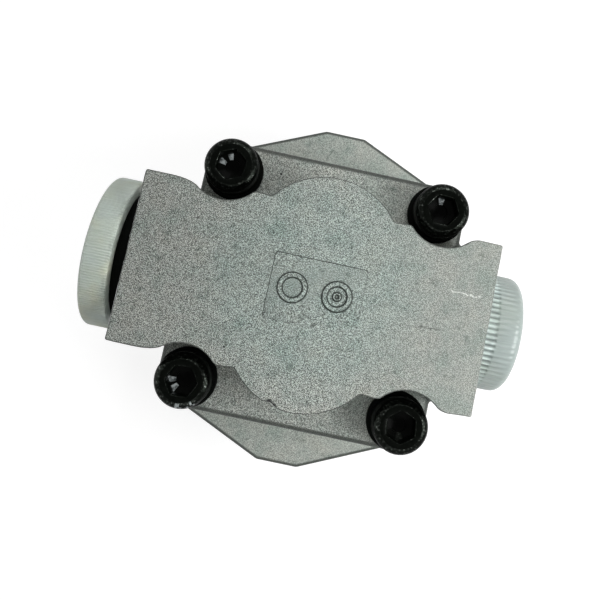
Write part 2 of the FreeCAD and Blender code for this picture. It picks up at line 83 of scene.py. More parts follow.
# Light and floor: soft lamps all round, the nearest of them by the outlet, and none overhead.
# The paper shows white to the camera and in reflections, and keeps the pump's soft shadow.
lamps = {
    "back_lamp": (Vector((0.08, 0.62, 0.60)), 0.5, 3.1),
    "right_lamp": (Vector((0.29, -0.04, 0.27)), 0.2, 0.95),
    "left_lamp": (Vector((-0.60, -0.10, 0.24)), 0.4, 0.8),
    "front_lamp": (Vector((0.15, -0.62, 0.60)), 0.5, 1.25),
}
for lamp_name, (place, width, power) in lamps.items():
    lamp_data = bpy.data.lights.new(lamp_name, "AREA")
    lamp_data.size = width
    lamp_data.energy = power
    lamp = bpy.data.objects.new(lamp_name, lamp_data)
    lamp.location = place
    lamp.rotation_euler = (-place).to_track_quat("-Z", "Y").to_euler()
    lamp.visible_camera = False
    bpy.context.scene.collection.objects.link(lamp)


def backdrop_share(nodes, links):
    """1 for a ray that shows the backdrop, straight, mirrored or through glass, and 0 for plain light."""
    ray = nodes.new("ShaderNodeLightPath")
    share = ray.outputs["Is Camera Ray"]
    for kind in ("Is Glossy Ray", "Is Transmission Ray"):
        either = nodes.new("ShaderNodeMath")
        either.operation = "MAXIMUM"
        links.new(share, either.inputs[0])
        links.new(ray.outputs[kind], either.inputs[1])
        share = either.outputs[0]
    return share


world = bpy.data.worlds.new("studio")
bpy.context.scene.world = world
world.use_nodes = True
world_light = world.node_tree.nodes["Background"]
world_light.inputs["Color"].default_value = (1, 1, 1, 1)
seen = world.node_tree.nodes.new("ShaderNodeMapRange")
seen.inputs["To Min"].default_value = 0.06
world.node_tree.links.new(backdrop_share(world.node_tree.nodes, world.node_tree.links), seen.inputs["Value"])
world.node_tree.links.new(seen.outputs["Result"], world_light.inputs["Strength"])

paper_mesh = bpy.data.meshes.new("paper")
floor_level = cad_box[0][2]
half = 2.0
paper_mesh.from_pydata([(-half, -half, floor_level), (half, -half, floor_level),
                        (half, half, floor_level), (-half, half, floor_level)], [], [(0, 1, 2, 3)])
paper = bpy.data.objects.new("paper", paper_mesh)
bpy.context.scene.collection.objects.link(paper)
paper_finish = bpy.data.materials.new("white_paper")
paper_finish.use_nodes = True
paper_nodes = paper_finish.node_tree.nodes
paper_shader = paper_nodes["Principled BSDF"]
paper_shader.inputs["Base Color"].default_value = (0.4, 0.4, 0.4, 1)
paper_shader.inputs["Roughness"].default_value = 0.9
paper_links = paper_finish.node_tree.links
paper_glow = paper_nodes.new("ShaderNodeMath")
paper_glow.operation = "MULTIPLY"
paper_glow.inputs[1].default_value = 0.78
paper_links.new(backdrop_share(paper_nodes, paper_links), paper_glow.inputs[0])
paper_shader.inputs["Emission Color"].default_value = (1, 1, 1, 1)
paper_links.new(paper_glow.outputs[0], paper_shader.inputs["Emission Strength"])
paper.data.materials.append(paper_finish)
bpy.context.scene.view_settings.view_transform = "Standard"


# Gear case: cast aluminium, shot-blasted to a salt-and-pepper grain, with painted shade where its edges are rounded.
# The rim of its blind end is uneven, and its joint face, port faces and bores are machined.
class Finish:
    """A finish under construction: its material, its shader and the object's own coordinates."""

    def __init__(self, name):
        self.material = bpy.data.materials.new(name)
        self.material.use_nodes = True
        self.nodes = self.material.node_tree.nodes
        self.links = self.material.node_tree.links
        self.shader = self.nodes["Principled BSDF"]
        self.place = self.nodes.new("ShaderNodeTexCoord").outputs["Object"]

    def value(self, socket, amount):
        """Sets a plain number or colour on the shader itself."""
        self.shader.inputs[socket].default_value = amount

    def feed(self, source, socket):
        self.links.new(source, self.shader.inputs[socket])

    def noise(self, size_mm, detail=2, rough=0.5, stretch=None):
        """Cloudy noise whose blotches are about size_mm across, from 0 to 1."""
        node = self.nodes.new("ShaderNodeTexNoise")
        node.inputs["Scale"].default_value = 1 / (size_mm * mm)
        node.inputs["Detail"].default_value = detail
        node.inputs["Roughness"].default_value = rough
        place = self.place
        if stretch:
            shrink = self.nodes.new("ShaderNodeMapping")
            shrink.inputs["Scale"].default_value = stretch
            self.links.new(place, shrink.inputs["Vector"])
            place = shrink.outputs["Vector"]
        self.links.new(place, node.inputs["Vector"])
        return node.outputs["Fac"]

    def spots(self, size_mm):
        """Distance to the nearest of many scattered points, small at the points."""
        node = self.nodes.new("ShaderNodeTexVoronoi")
        node.inputs["Scale"].default_value = 1 / (size_mm * mm)
        self.links.new(self.place, node.inputs["Vector"])
        return node.outputs["Distance"]

    def ramp(self, source, stops):
        """Turns a number into a colour by (position, colour) stops."""
        node = self.nodes.new("ShaderNodeValToRGB")
        while len(node.color_ramp.elements) < len(stops):
            node.color_ramp.elements.new(0.5)
        for element, (position, colour) in zip(node.color_ramp.elements, stops):
            element.position = position
            element.color = (*colour, 1)
        self.links.new(source, node.inputs["Fac"])
        return node.outputs["Color"]

    def spread(self, source, low, high, to_low, to_high):
        """Stretches a number from one range to another."""
        node = self.nodes.new("ShaderNodeMapRange")
        for socket, amount in zip(("From Min", "From Max", "To Min", "To Max"), (low, high, to_low, to_high)):
            node.inputs[socket].default_value = amount
        self.links.new(source, node.inputs["Value"])
        return node.outputs["Result"]

    def blend(self, mode, share, first, second):
        """Mixes two colours; share, first and second may be sockets or plain values."""
        node = self.nodes.new("ShaderNodeMix")
        node.data_type = "RGBA"
        node.blend_type = mode
        for socket, what in ((node.inputs[0], share), (node.inputs[6], first), (node.inputs[7], second)):
            if isinstance(what, bpy.types.NodeSocket):
                self.links.new(what, socket)
            else:
                socket.default_value = what if isinstance(what, (int, float)) else (*what, 1)
        return node.outputs[2]

    def bump(self, source, height_mm, strength=1.0, over=None):
        """Relief from a number, laid over an earlier relief where one is given."""
        node = self.nodes.new("ShaderNodeBump")
        node.inputs["Strength"].default_value = strength
        node.inputs["Distance"].default_value = height_mm * mm
        self.links.new(source, node.inputs["Height"])
        if over:
            self.links.new(over, node.inputs["Normal"])
        return node.outputs["Normal"]

    def along(self, axis):
        """The place along X, Y or Z, in metres."""
        node = self.nodes.new("ShaderNodeSeparateXYZ")
        self.links.new(self.place, node.inputs["Vector"])
        return node.outputs[axis]

    def distance(self, point_mm):
        """The distance from a point, in metres."""
        node = self.nodes.new("ShaderNodeVectorMath")
        node.operation = "DISTANCE"
        self.links.new(self.place, node.inputs[0])
        node.inputs[1].default_value = Vector(point_mm) * mm
        return node.outputs["Value"]

    def maths(self, operation, first, second):
        """Works out a sum, a product or the like of two sockets or plain values."""
        node = self.nodes.new("ShaderNodeMath")
        node.operation = operation
        for socket, what in zip(node.inputs, (first, second)):
            if isinstance(what, bpy.types.NodeSocket):
                self.links.new(what, socket)
            else:
                socket.default_value = what
        return node.outputs[0]

    def scratch(self, start_x, end_x, y, width, wander, depth):
        """1 on a broken, wandering line along X on the blind end and 0 elsewhere; all sizes in mm."""
        swing = self.maths("MULTIPLY", self.maths("SUBTRACT", self.noise(2.3, detail=4, rough=0.65), 0.5), wander * mm)
        off = self.maths("SUBTRACT", self.maths("ADD", self.along("Y"), swing), y * mm)
        line = self.spread(self.maths("ABSOLUTE", off, 0), 0, width * mm, depth, 0)
        middle = (start_x + end_x) / 2 * mm
        out = self.maths("ABSOLUTE", self.maths("SUBTRACT", self.along("X"), middle), 0)
        half_length = (end_x - start_x) / 2 * mm
        reach = self.spread(out, half_length - 1.5 * mm, half_length, 1, 0)
        gaps = self.spread(self.noise(0.53), 0.44, 0.52, 0.1, 1)
        level = self.spread(self.along("Z"), 61.3 * mm, 61.7 * mm, 0, 1)
        return self.maths("MULTIPLY", self.maths("MULTIPLY", line, reach), self.maths("MULTIPLY", gaps, level))

    def facing_up(self):
        """How far a surface faces away from the mounting side: 1 on level ground, 0 on a wall."""
        geometry = self.nodes.new("ShaderNodeNewGeometry")
        node = self.nodes.new("ShaderNodeSeparateXYZ")
        self.links.new(geometry.outputs["Normal"], node.inputs["Vector"])
        return node.outputs["Z"]


cast = Finish("cast_aluminium")
grain = cast.ramp(cast.noise(0.21, detail=1, rough=0.5),
                  [(0.40, (0.05, 0.055, 0.048)), (0.48, (0.195, 0.21, 0.19)), (0.53, (0.32, 0.345, 0.315)),
                   (0.61, (0.69, 0.73, 0.68))])
plain = (0.31, 0.335, 0.305)
lower_is_smoother = cast.spread(cast.along("Z"), 62 * mm, 14 * mm, 0, 0.5)
calmer_to_outlet = cast.spread(cast.along("X"), 5 * mm, 40 * mm, 0, 0.5)
for calm in (lower_is_smoother, calmer_to_outlet):
    grain = cast.blend("MIX", calm, grain, plain)
clouds = cast.ramp(cast.noise(9, detail=4, rough=0.6),
                   [(0.3, (0.80, 0.87, 0.85)), (0.5, (1, 1, 1)), (0.7, (1.04, 1.01, 0.99))])
stains = cast.ramp(cast.noise(3.2, detail=5, rough=0.7), [(0.30, (0.55, 0.60, 0.58)), (0.42, (0.97, 0.98, 0.98)),
                                                          (0.5, (1, 1, 1))])
# Slightly bluer round the middle of the blind end.
bluer_middle = cast.ramp(cast.spread(cast.distance((-2, 3, 62)), 22 * mm, 36 * mm, 0, 1),
                    [(0, (0.93, 1.01, 1.01)), (1, (1, 1, 1))])
# Painted shade: the casting grows darker towards the inlet end, away from the light.
painted_shade_to_inlet = cast.spread(cast.along("X"), -50 * mm, 0, 0.76, 1)
# Painted shade: darker where the surface turns away from level, on rounded edges and slopes, fading out towards the
# outlet end.
painted_edge_shade = cast.ramp(cast.facing_up(), [(0.0, (0.8, 0.8, 0.8)), (0.25, (0.14, 0.15, 0.14)),
                                         (0.8, (0.12, 0.13, 0.12)), (0.93, (0.19, 0.2, 0.19)),
                                         (0.985, (0.6, 0.6, 0.6)), (0.999, (1, 1, 1))])
painted_edge_shade = cast.blend("MIX", cast.spread(cast.along("X"), 40 * mm, 49 * mm, 0, 0.7), painted_edge_shade, (1, 1, 1))
# Painted light: the lower levels, the foot and the flange, are made brighter than the blind end.
painted_light_below = cast.ramp(cast.spread(cast.along("Z"), 14 * mm, 62 * mm, 0, 1),
                          [(0, (1.3, 1.3, 1.3)), (0.62, (1.16, 1.16, 1.16)), (1, (1, 1, 1))])
cast_colour = grain
for layer in (clouds, stains, bluer_middle, painted_shade_to_inlet, painted_light_below, painted_edge_shade):
    cast_colour = cast.blend("MULTIPLY", 1.0, cast_colour, layer)
# Painted shade for small casting pits: dark spots at the listed places, with sizes in mm; the pits themselves are not
# modelled.
for pit, size in (((-17.8, 34.3, 44), 0.5), ((10.7, 33.5, 44), 0.5), ((-21.7, -19.6, 62), 0.42),
                  ((-6.4, -31.9, 61.6), 1.3), ((-5.0, -32.5, 61.5), 1.1)):
    painted_pit_shade = cast.spread(cast.distance(pit), 0.5 * size * mm, size * mm, 0.02, 1)
    cast_colour = cast.blend("MULTIPLY", 1.0, cast_colour, painted_pit_shade)
bright_scratch = cast.scratch(35.9, 47.1, 8.7, 0.26, 2.4, 0.9)
cast_colour = cast.blend("MIX", bright_scratch, cast_colour, (0.85, 0.88, 0.84))
dark_scratch = cast.scratch(29.3, 37.1, -2.8, 0.36, 2.5, 0.95)
cast_colour = cast.blend("MIX", dark_scratch, cast_colour, (0.07, 0.08, 0.07))
cast.feed(cast_colour, "Base Color")
cast.value("Metallic", 0.15)
cast.value("Roughness", 0.6)
cast.feed(cast.bump(cast.noise(0.5, detail=2, rough=0.6), 0.08, 0.5), "Normal")

machined = Finish("machined_aluminium")
machined.feed(machined.ramp(machined.noise(0.6, stretch=(1, 1, 8)), [(0.3, (0.42, 0.43, 0.43)),
                                                                      (0.7, (0.56, 0.57, 0.57))]), "Base Color")
machined.value("Metallic", 0.8)
machined.value("Roughness", 0.38)


def paint(node_name, finish):
    """Gives a CAD node, which keeps its shape, its finish."""
    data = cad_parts[node_name].data
    data.materials.clear()
    data.materials.append(finish.material)


def piece(name, mesh, body, slot, *finishes):
    """Puts a mesh into the scene as a piece that moves with a CAD body."""
    thing = bpy.data.objects.new(name, mesh)
    bpy.context.scene.collection.objects.link(thing)
    for finish in finishes:
        mesh.materials.append(finish.material)
    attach(thing, body)
    return thing


def shade(mesh, sharp_deg):
    """Smooth shading with an edge wherever the surface turns more than the given angle."""
    mesh.shade_smooth()
    mesh.set_sharp_from_angle(angle=math.radians(sharp_deg))


def crisp_borders(mesh, is_flat):
    """Keeps the shading of the faces that is_flat picks level up to their borders."""
    work = bmesh.new()
    work.from_mesh(mesh)
    for edge in work.edges:
        picked = [is_flat(face) for face in edge.link_faces]
        if any(picked) and not all(picked):
            edge.smooth = False
    work.to_mesh(mesh)
    work.free()


case_low, case_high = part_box("gear_case")
skin = bmesh.new()
skin.from_mesh(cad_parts["gear_case"].data)
bmesh.ops.remove_doubles(skin, verts=skin.verts, dist=0.001 * mm)
level = 0.02 * mm
blind_end = [f for f in skin.faces if all(v.co.z > case_high.z - level for v in f.verts)]
inner = [e for e in skin.edges if len(e.link_faces) == 2 and all(f in set(blind_end) for f in e.link_faces)]
bmesh.ops.dissolve_edges(skin, edges=inner)
rim_step = 0.9 * mm
for edge in [e for e in skin.edges if all(v.co.z > case_high.z - level for v in e.verts)]:
    cuts = int(edge.calc_length() / rim_step)
    if cuts:
        bmesh.ops.subdivide_edges(skin, edges=[edge], cuts=cuts)
rim = [e for e in skin.edges if all(v.co.z > case_high.z - level for v in e.verts)]
bmesh.ops.bevel(skin, geom=rim, offset=0.4 * mm, segments=2, profile=0.5, affect="EDGES", clamp_overlap=True)
foot_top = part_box("screw_washers")[0].z
screw_line = 32 * mm
rounding_start, rounding_wanted = 7.3 * mm, 6.3 * mm
for vertex in skin.verts:
    inside = Vector([max(-screw_line, min(screw_line, part)) for part in vertex.co.xy])
    over = vertex.co.xy - inside
    if abs(vertex.co.z - foot_top) < level and abs(over.length - rounding_start) < 0.2 * mm:
        vertex.co.xy = inside + over * rounding_wanted / over.length
scallop_radius, scallop_reach = 12.2 * mm, 4 * mm
scallop_lean = {(-1, 1): 0.7 * mm, (1, 1): 0.6 * mm, (-1, -1): 1.1 * mm, (1, -1): 1.1 * mm}
for vertex in skin.verts:
    height_share = (vertex.co.z - foot_top) / (case_high.z - foot_top)
    for (corner_x, corner_y), lean_out in scallop_lean.items():
        off = vertex.co.xy - Vector((corner_x, corner_y)) * screw_line
        share = 1 - (off.length - scallop_radius) / scallop_reach
        if height_share > 0 and 0 < share < 1.2:
            vertex.co.xy -= off / off.length * lean_out * height_share * min(share, 1)
nick = Vector((-5.9, -32.2)) * mm
for vertex in skin.verts:
    if vertex.co.z > case_high.z - 0.5 * mm:
        ragged = noise.noise_vector(vertex.co * 900) * 0.07 * mm + noise.noise_vector(vertex.co * 160) * 0.12 * mm
        vertex.co.x += ragged.x
        vertex.co.y += ragged.y
        near = 1 - (vertex.co.xy - nick).length / (2.2 * mm)
        if near > 0:
            vertex.co.y += near * 0.9 * mm
            vertex.co.z -= near * 0.5 * mm
for face in skin.faces:
    middle = face.calc_center_median()
    port_face = abs(face.normal.x) > 0.99 and (middle.x < case_low.x + level or middle.x > case_high.x - level)
    joint_face = middle.z < case_low.z + level
    bore = abs(middle.y) < 20 * mm and middle.z < case_high.z - 3 * mm and case_low.x < middle.x < case_high.x and (
        face.normal.dot(middle - Vector((middle.x, 0, 0.03815))) < 0)
    face.material_index = 1 if port_face or joint_face or bore else 0
case_mesh = bpy.data.meshes.new("case_skin")
skin.to_mesh(case_mesh)
skin.free()
shade(case_mesh, 25)
crisp_borders(case_mesh, lambda face: face.normal.z > 0.9999 and face.calc_center_median().z > case_high.z - level)
case_skin = piece("case_skin", case_mesh, "housing", "cast_aluminium", cast, machined)
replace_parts(case_skin, "gear_case")

# Mould insert: a thin raised plate on the blind end, with two plain ring marks whose sides are steep.
# The marks stand where castings carry such dials, and bear no sign or figure.
def ring_band(mesh, centre, section, steps):
    """Adds a closed ring to a mesh from (radius, height) pairs of its section."""
    loops = []
    for i in range(steps):
        turn = 2 * math.pi * i / steps
        loops.append([mesh.verts.new(centre + Vector((r * math.cos(turn), r * math.sin(turn), z)))
                      for r, z in section])
    for i in range(steps):
        for j in range(len(section)):
            k = (j + 1) % len(section)
            mesh.faces.new((loops[i][j], loops[i][k], loops[(i + 1) % steps][k], loops[(i + 1) % steps][j]))


insert_half = Vector((13.45, 9.5)) * mm
insert_height = 0.25 * mm
insert_round = 0.8 * mm
outline = []
for corner_x, corner_y, start in ((1, 1, 0), (-1, 1, 90), (-1, -1, 180), (1, -1, 270)):
    for turn in range(start, start + 91, 30):
        outline.append((corner_x * (insert_half.x - insert_round) + insert_round * math.cos(math.radians(turn)),
                        corner_y * (insert_half.y - insert_round) + insert_round * math.sin(math.radians(turn))))
insert = bmesh.new()
slope = 0.25 * mm
levels = []
for z, shrink, rise in ((case_high.z - 0.1 * mm, 0, 0), (case_high.z, 0, 0), (case_high.z, slope, insert_height)):
    levels.append([insert.verts.new((x * (1 - shrink / insert_half.x), y * (1 - shrink / insert_half.y),
                                     z + rise * (0.5 + 0.3 * y / insert_half.y - 0.2 * x / insert_half.x)))
                   for x, y in outline])
for below, above in zip(levels, levels[1:]):
    for i in range(len(outline)):
        j = (i + 1) % len(outline)
        insert.faces.new((below[i], below[j], above[j], above[i]))
insert.faces.new(levels[-1])
insert.faces.new(reversed(levels[0]))
mark_height = 0.42 * mm
mark_slope = 0.45 * mm
for mark_x, outer, width in ((-6.7, 4.5, 1.9), (6.1, 4.5, 1.9), (6.1, 1.5, 1.2)):
    outer, width = outer * mm, width * mm
    ring_band(insert, Vector((mark_x * mm, 0.35 * mm, case_high.z + insert_height)),
              [(outer - width, -0.3 * mm), (outer - width, 0), (outer - width + mark_slope, mark_height),
               (outer - mark_slope, mark_height), (outer, 0), (outer, -0.3 * mm)], 64)
bmesh.ops.recalc_face_normals(insert, faces=insert.faces)
insert_mesh = bpy.data.meshes.new("mould_insert")
insert.to_mesh(insert_mesh)
insert.free()
shade(insert_mesh, 20)
piece("mould_insert", insert_mesh, "housing", "cast_aluminium", cast)

# Front cover: the same casting alloy, its mounting face turned flat and bright round the spigot.
# Four small screws from below hold it on, and the four through screws clamp it to the case.
cover_low, cover_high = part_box("front_cover")
cover = bmesh.new()
cover.from_mesh(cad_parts["front_cover"].data)
bmesh.ops.remove_doubles(cover, verts=cover.verts, dist=0.001 * mm)
for face in cover.faces:
    middle = face.calc_center_median()
    turned = middle.z < level or (middle.z > cover_high.z - level and abs(middle.y) < 40 * mm)
    face.material_index = 1 if turned else 0
cover_mesh = bpy.data.meshes.new("cover_skin")
cover.to_mesh(cover_mesh)
cover.free()
shade(cover_mesh, 25)
crisp_borders(cover_mesh, lambda face: face.normal.z < -0.9999)
cover_skin = piece("cover_skin", cover_mesh, "housing", "cast_aluminium", cast, machined)
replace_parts(cover_skin, "front_cover")

# Bearing blocks, bushes and seals: machined aluminium blocks with bronze sleeves, and rubber rings
# in their grooves; all of them are closed in by the case and the cover.
bronze = Finish("bearing_bronze")
bronze.feed(bronze.ramp(bronze.noise(0.8), [(0.3, (0.42, 0.25, 0.11)), (0.7, (0.55, 0.34, 0.16))]), "Base Color")
bronze.value("Metallic", 0.9)
bronze.value("Roughness", 0.35)
rubber = Finish("black_rubber")
rubber.feed(rubber.ramp(rubber.noise(0.5, detail=3), [(0.3, (0.0008, 0.001, 0.0008)),
                                                      (0.7, (0.003, 0.0035, 0.003))]), "Base Color")
rubber.value("Roughness", 0.6)
rubber.value("Specular IOR Level", 0.02)
rubber.feed(rubber.bump(rubber.noise(0.4), 0.02, 0.4), "Normal")
backup = Finish("backup_plastic")
backup.feed(backup.ramp(backup.noise(1.5), [(0.3, (0.62, 0.58, 0.47)), (0.7, (0.72, 0.69, 0.58))]), "Base Color")
backup.value("Roughness", 0.5)
for place in ("front", "rear"):
    paint(f"{place}_bearing_block", machined)
    paint(f"drive_{place}_bush", bronze)
    paint(f"driven_{place}_bush", bronze)
    paint(f"{place}_pressure_seal", rubber)
    paint(f"{place}_backup_ring", backup)
paint("case_seal_ring", rubber)

# Gears and shafts: hardened steel, ground on the teeth and journals, with a splined drive end.
steel = Finish("ground_steel")
steel.feed(steel.ramp(steel.noise(0.4, detail=3, stretch=(1, 1, 12)), [(0.3, (0.38, 0.38, 0.37)),
                                                                       (0.7, (0.52, 0.52, 0.51))]), "Base Color")
steel.value("Metallic", 1.0)
steel.value("Roughness", 0.28)
paint("drive_gear_shaft", steel)
paint("driven_gear_shaft", steel)
paint("dowel_pins", steel)

# Shaft seal, its garter spring and the circlip that keeps it in the spigot.
spring_steel = Finish("spring_steel")
spring_steel.feed(spring_steel.ramp(spring_steel.noise(0.5), [(0.3, (0.05, 0.05, 0.055)),
                                                              (0.7, (0.1, 0.1, 0.1))]), "Base Color")
spring_steel.value("Metallic", 0.9)
spring_steel.value("Roughness", 0.4)
paint("shaft_seal", rubber)
paint("seal_spring", spring_steel)
paint("seal_circlip", spring_steel)

# Screws and washers: black oxide steel, smooth and wet with oil, so that only edges and sockets glint, with painted
# highlights on some socket ledges and on one chamfer.
# Each through screw has a rolled thread below the mounting face and a hexagon socket in its head.
oxide = Finish("black_oxide")
oxide.feed(oxide.ramp(oxide.noise(1.2, detail=4, rough=0.6), [(0.3, (0.001, 0.0015, 0.001)),
                                                              (0.7, (0.003, 0.004, 0.003))]), "Base Color")
oxide.value("Roughness", 0.3)
oxide.value("Specular IOR Level", 0.02)
oxide.feed(oxide.bump(oxide.noise(1.6, detail=3), 0.05, 0.35), "Normal")
worn = Finish("worn_oxide")
worn.feed(worn.ramp(worn.noise(0.7, detail=4, rough=0.7), [(0.48, (0.003, 0.004, 0.003)), (0.58, (0.012, 0.014, 0.012)),
                                                           (0.68, (0.09, 0.10, 0.09))]), "Base Color")
worn.value("Metallic", 0.8)
worn.value("Roughness", 0.14)
worn.value("Specular IOR Level", 0.1)
worn.feed(worn.bump(worn.noise(0.9, detail=2), 0.12, 0.6), "Normal")
# Painted highlight: bright bare steel whose patches stand in for glints in the sockets and on one chamfer.
glint_patches = Finish("glint_patch_steel")
glint_patches.feed(glint_patches.ramp(glint_patches.noise(0.9, detail=3), [(0.38, (0.03, 0.035, 0.035)), (0.6, (0.22, 0.24, 0.24))]), "Base Color")
glint_patches.value("Metallic", 1.0)
glint_patches.value("Roughness", 0.2)


def lathe(mesh, section, steps, radius_at, bright_bands=()):
    """Turns a section of (radius, height, share) about Z; radius_at bends a radius by its share and the angle.

    The bands between two points of the section whose numbers are in bright_bands get the second finish.
    """
    loops = []
    for r, z, share in section:
        if r == 0:
            loops.append([mesh.verts.new((0, 0, z))] * steps)
            continue
        loop = []
        for i in range(steps):
            turn = 2 * math.pi * i / steps
            radius = radius_at(r, share, turn) if share else r
            loop.append(mesh.verts.new((radius * math.cos(turn), radius * math.sin(turn), z)))
        loops.append(loop)
    for band, (first, second) in enumerate(zip(loops, loops[1:])):
        for i in range(steps):
            k = (i + 1) % steps
            corners = []
            for vertex in (first[i], first[k], second[k], second[i]):
                if vertex not in corners:
                    corners.append(vertex)
            mesh.faces.new(corners).material_index = 1 if band in bright_bands else 0


def thread(mesh, root, crest, pitch, low, top, steps):
    """A helical ridge round a core of the root radius, running out at both ends."""
    flank, land = 0.42 * pitch, 0.06 * pitch
    turns = (top - low - 2 * flank - land) / pitch
    count = int(turns * steps)
    sunk = root - 0.08 * mm
    ribs = []
    for i in range(count + 1):
        turn = 2 * math.pi * i / steps
        fade = min(1, i / (0.4 * steps), (count - i) / (0.4 * steps))
        radius = sunk + (crest - sunk) * max(fade, 0.02)
        z = low + pitch * i / steps
        ribs.append([mesh.verts.new((r * math.cos(turn), r * math.sin(turn), z + dz))
                     for r, dz in ((sunk, 0), (radius, flank), (radius, flank + land), (sunk, 2 * flank + land))])
    for before, after in zip(ribs, ribs[1:]):
        for j in range(4):
            k = (j + 1) % 4
            mesh.faces.new((before[j], after[j], after[k], before[k]))
    mesh.faces.new(reversed(ribs[0]))
    mesh.faces.new(ribs[-1])


screw_low, screw_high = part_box("mounting_screws")
washer_low, washer_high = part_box("screw_washers")
head_radius = 8 * mm
spacing = (screw_high.x - screw_low.x) / 2 - head_radius
socket_flats = 8 * mm
socket_depth = 5 * mm
thread_root, thread_crest, thread_pitch = 4.2 * mm, 4.96 * mm, 1.5 * mm
hex_steps = 72


def hexagonal(radius, share, turn):
    """A radius drawn towards the six flats of the socket by its share."""
    flat_turn = turn % math.radians(60) - math.radians(30)
    return radius * (1 - share) + share * socket_flats / 2 / math.cos(flat_turn)


head_top = screw_high.z
seat = washer_high.z
tip = screw_low.z
socket_floor = head_top - socket_depth
pilot_radius = 2.3 * mm
head_section = [
    (0, socket_floor - 2.3 * mm, 0), (pilot_radius, socket_floor - 1.6 * mm, 0),
    (pilot_radius, socket_floor - 0.5 * mm, 0),
    (4 * mm, socket_floor, 1), (4 * mm, head_top - 0.4 * mm, 1), (4.8 * mm, head_top - 0.14 * mm, 0.75),
    (5.2 * mm, head_top, 0.65), (6.1 * mm, head_top, 0), (6.3 * mm, head_top - 0.06 * mm, 0),
    (7.4 * mm, head_top - 0.55 * mm, 0), (7.8 * mm, head_top - 1.0 * mm, 0), (head_radius, head_top - 1.6 * mm, 0),
    (head_radius, seat + 0.5 * mm, 0), (7.85 * mm, seat + 0.15 * mm, 0), (7.5 * mm, seat, 0), (4.5 * mm, seat, 0),
    (4.5 * mm, 0.3 * mm, 0), (thread_root, 0, 0), (thread_root, tip + 1.2 * mm, 0),
    (thread_root - 0.9 * mm, tip, 0), (0, tip, 0)]
socket_rim, top_edge, upper_chamfer, lower_chamfer = 5, 7, 8, 9
# Painted highlights on the socket ledges: for each corner, the bearings in degrees of the bright patches, and their
# half width.
glint_deg = {(-1, 1): (111, 159), (1, 1): (93,), (-1, -1): (189, 229), (1, -1): (282,)}
glint_spread_deg = 13
# Painted highlight on one head's chamfer: a speckled patch between two bearings in degrees.
glint_corner, glint_from, glint_to = (-1, -1), 268, 312
screws = bmesh.new()
for corner_x in (-1, 1):
    for corner_y in (-1, 1):
        one = bmesh.new()
        lathe(one, head_section, hex_steps, hexagonal, (socket_rim, top_edge, upper_chamfer, lower_chamfer))
        thread(one, thread_root, thread_crest, thread_pitch, tip + 0.5 * mm, 0, 36)
        one.transform(Matrix.Rotation(math.radians(17 * corner_x + 40 * corner_y), 4, "Z"))
        for face in one.faces:
            middle = face.calc_center_median()
            bearing = math.degrees(math.atan2(middle.y, middle.x)) % 360
            on_ledge = socket_floor - 0.5 * mm < middle.z < socket_floor and middle.xy.length > pilot_radius
            if on_ledge and any(abs(bearing - angle) < glint_spread_deg for angle in glint_deg[corner_x, corner_y]):
                face.material_index = 1 if (corner_x, corner_y) == (1, -1) else 2
            on_chamfer = head_top - 1.0 * mm < middle.z < head_top - 0.1 * mm and middle.xy.length > 6.3 * mm
            if on_chamfer and (corner_x, corner_y) == glint_corner and glint_from < bearing < glint_to:
                face.material_index = 2 if noise.noise(middle * 2700) > 0.08 else 1
        one.transform(Matrix.Translation((corner_x * spacing, corner_y * spacing, 0)))
        bmesh.ops.recalc_face_normals(one, faces=one.faces)
        one_mesh = bpy.data.meshes.new("one_screw")
        one.to_mesh(one_mesh)
        screws.from_mesh(one_mesh)
        bpy.data.meshes.remove(one_mesh)
        one.free()
screw_mesh = bpy.data.meshes.new("through_screws")
screws.to_mesh(screw_mesh)
screws.free()
shade(screw_mesh, 40)
screw_piece = piece("through_screws", screw_mesh, "housing", "black_steel", oxide, worn, glint_patches)
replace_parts(screw_piece, "mounting_screws")

washer_radius = (washer_high.x - washer_low.x) / 2 - spacing
washer_round = 0.35 * mm
washer_bore = 5.25 * mm
washers = bmesh.new()
for corner_x in (-1, 1):
    for corner_y in (-1, 1):
        ring_band(washers, Vector((corner_x * spacing, corner_y * spacing, 0)),
                  [(washer_bore, washer_low.z), (washer_radius - 0.1 * mm, washer_low.z),
                   (washer_radius, washer_low.z + 0.1 * mm), (washer_radius, washer_high.z - washer_round),
                   (washer_radius - 0.3 * washer_round, washer_high.z - 0.3 * washer_round),
                   (washer_radius - washer_round, washer_high.z), (washer_bore + 0.2 * mm, washer_high.z),
                   (washer_bore, washer_high.z - 0.2 * mm)], 72)
bmesh.ops.recalc_face_normals(washers, faces=washers.faces)
washer_mesh = bpy.data.meshes.new("washers")
washers.to_mesh(washer_mesh)
washers.free()
shade(washer_mesh, 40)
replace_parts(piece("washers", washer_mesh, "housing", "black_steel", oxide), "screw_washers")
paint("cover_screws", oxide)

# Port plugs: white plastic, a little see-through, with ribs round the grip and a threaded, hollow neck.
# The inlet plug has fine ribs; the outlet plug has coarse ones that are deepest next to the case.
plug_low, plug_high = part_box("inlet_plug")
port_height = (plug_low.z + plug_high.z) / 2


